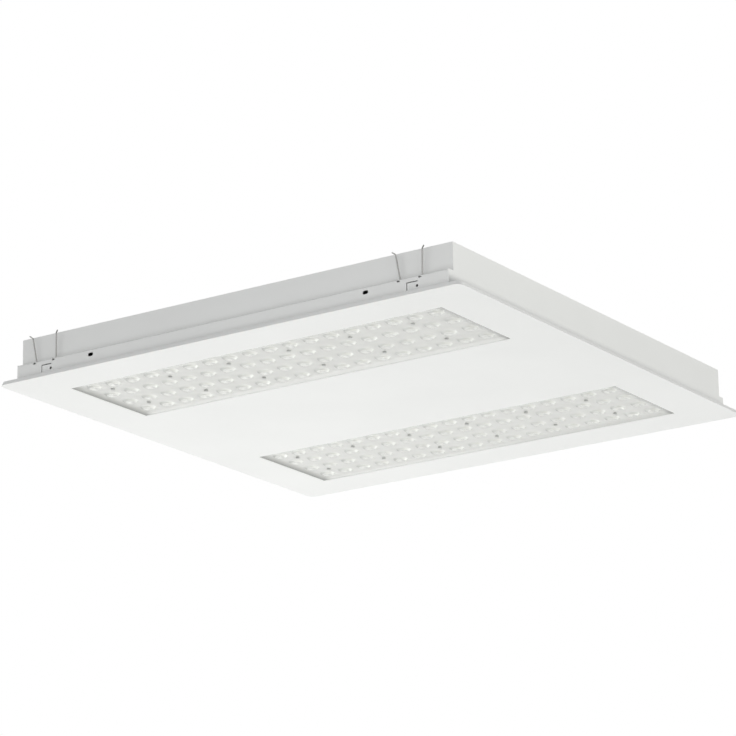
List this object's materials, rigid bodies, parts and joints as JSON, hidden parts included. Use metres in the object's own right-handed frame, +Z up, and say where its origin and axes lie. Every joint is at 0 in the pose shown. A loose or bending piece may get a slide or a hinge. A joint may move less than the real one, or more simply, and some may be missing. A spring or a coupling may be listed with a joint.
{
  "type": "recessed led light",
  "caption": "Square recessed ceiling light with lens-array windows, stepped folded-steel housing, swinging spring-wire clips, cable inlet and push-button mains terminal.",
  "frame": {"origin": "centre of the face plate's underside", "axes": "+Z up into the ceiling void, +X along the lens windows, front rail on the -Y side"},
  "size_m": [0.595, 0.595, 0.056],
  "materials": {
    "white_steel": "satin powder coat",
    "clear_lens": "clear moulded",
    "spring_wire": "drawn",
    "saddle_steel": "zinc plated",
    "fixing_steel": "dark plated",
    "zinc_steel": "zinc plated",
    "seal_rubber": "matt",
    "inlet_rubber": "matt",
    "board_white": "matt",
    "led_phosphor": "satin",
    "connector_white": "matt",
    "sink_aluminium": "mill",
    "driver_case": "satin",
    "board_green": "satin",
    "terminal_grey": "matt",
    "button_brown": "matt",
    "button_blue": "matt",
    "button_green": "matt",
    "lead_grey": "matt"
  },
  "bodies": {
    "housing": {"face_plate": "white_steel", "side_rail_front": "white_steel", "side_rail_rear": "white_steel", "end_wall_left": "white_steel", "end_wall_right": "white_steel", "top_cover": "white_steel", "access_lid": "white_steel", "lens_plate_front": "clear_lens", "lens_plate_rear": "clear_lens", "clip_saddles_front": "saddle_steel", "clip_saddles_rear": "saddle_steel", "lens_screws_front": "fixing_steel", "lens_screws_rear": "fixing_steel", "cover_screws": "zinc_steel", "lid_screws": "zinc_steel", "plate_studs": "zinc_steel", "plate_nuts": "zinc_steel", "gear_tray": "zinc_steel", "driver_screws": "zinc_steel", "window_gasket_front": "seal_rubber", "window_gasket_rear": "seal_rubber", "cable_grommet": "inlet_rubber", "led_boards_front": "board_white", "led_boards_rear": "board_white", "leds_front": "led_phosphor", "leds_rear": "led_phosphor", "board_connector_front": "connector_white", "board_connector_rear": "connector_white", "board_links_front": "connector_white", "board_links_rear": "connector_white", "driver_terminals": "connector_white", "heat_sink_front": "sink_aluminium", "heat_sink_rear": "sink_aluminium", "driver_base": "driver_case", "driver_cover": "driver_case", "driver_board": "board_green", "terminal_block": "terminal_grey", "mains_lead": "lead_grey", "output_lead_front": "lead_grey", "output_lead_rear": "lead_grey"},
    "wire_clip_front_left": {"wire_clip_front_left": "spring_wire"},
    "wire_clip_front_right": {"wire_clip_front_right": "spring_wire"},
    "wire_clip_rear_left": {"wire_clip_rear_left": "spring_wire"},
    "wire_clip_rear_right": {"wire_clip_rear_right": "spring_wire"},
    "terminal_button_live": {"terminal_button_live": "button_brown"},
    "terminal_button_neutral": {"terminal_button_neutral": "button_blue"},
    "terminal_button_earth": {"terminal_button_earth": "button_green"}
  },
  "joints": [
    {"name": "wire_clip_front_left_swing", "type": "hinge", "parent": "housing", "child": "wire_clip_front_left", "pos_m": [-0.24205, -0.2835, 0.02039], "axis": [1, 0, 0], "range_deg": [-12, 80]},
    {"name": "wire_clip_front_right_swing", "type": "hinge", "parent": "housing", "child": "wire_clip_front_right", "pos_m": [0.23145, -0.2835, 0.02039], "axis": [1, 0, 0], "range_deg": [-12, 80]},
    {"name": "wire_clip_rear_left_swing", "type": "hinge", "parent": "housing", "child": "wire_clip_rear_left", "pos_m": [-0.23145, 0.2835, 0.02039], "axis": [-1, 0, 0], "range_deg": [-12, 80]},
    {"name": "wire_clip_rear_right_swing", "type": "hinge", "parent": "housing", "child": "wire_clip_rear_right", "pos_m": [0.24205, 0.2835, 0.02039], "axis": [-1, 0, 0], "range_deg": [-12, 80]},
    {"name": "terminal_button_live_press", "type": "slide", "parent": "housing", "child": "terminal_button_live", "axis": [0, 0, -1], "range_m": [0, 0.0012], "stiffness_N_per_m": 800},
    {"name": "terminal_button_neutral_press", "type": "slide", "parent": "housing", "child": "terminal_button_neutral", "axis": [0, 0, -1], "range_m": [0, 0.0012], "stiffness_N_per_m": 800},
    {"name": "terminal_button_earth_press", "type": "slide", "parent": "housing", "child": "terminal_button_earth", "axis": [0, 0, -1], "range_m": [0, 0.0012], "stiffness_N_per_m": 800}
  ]
}
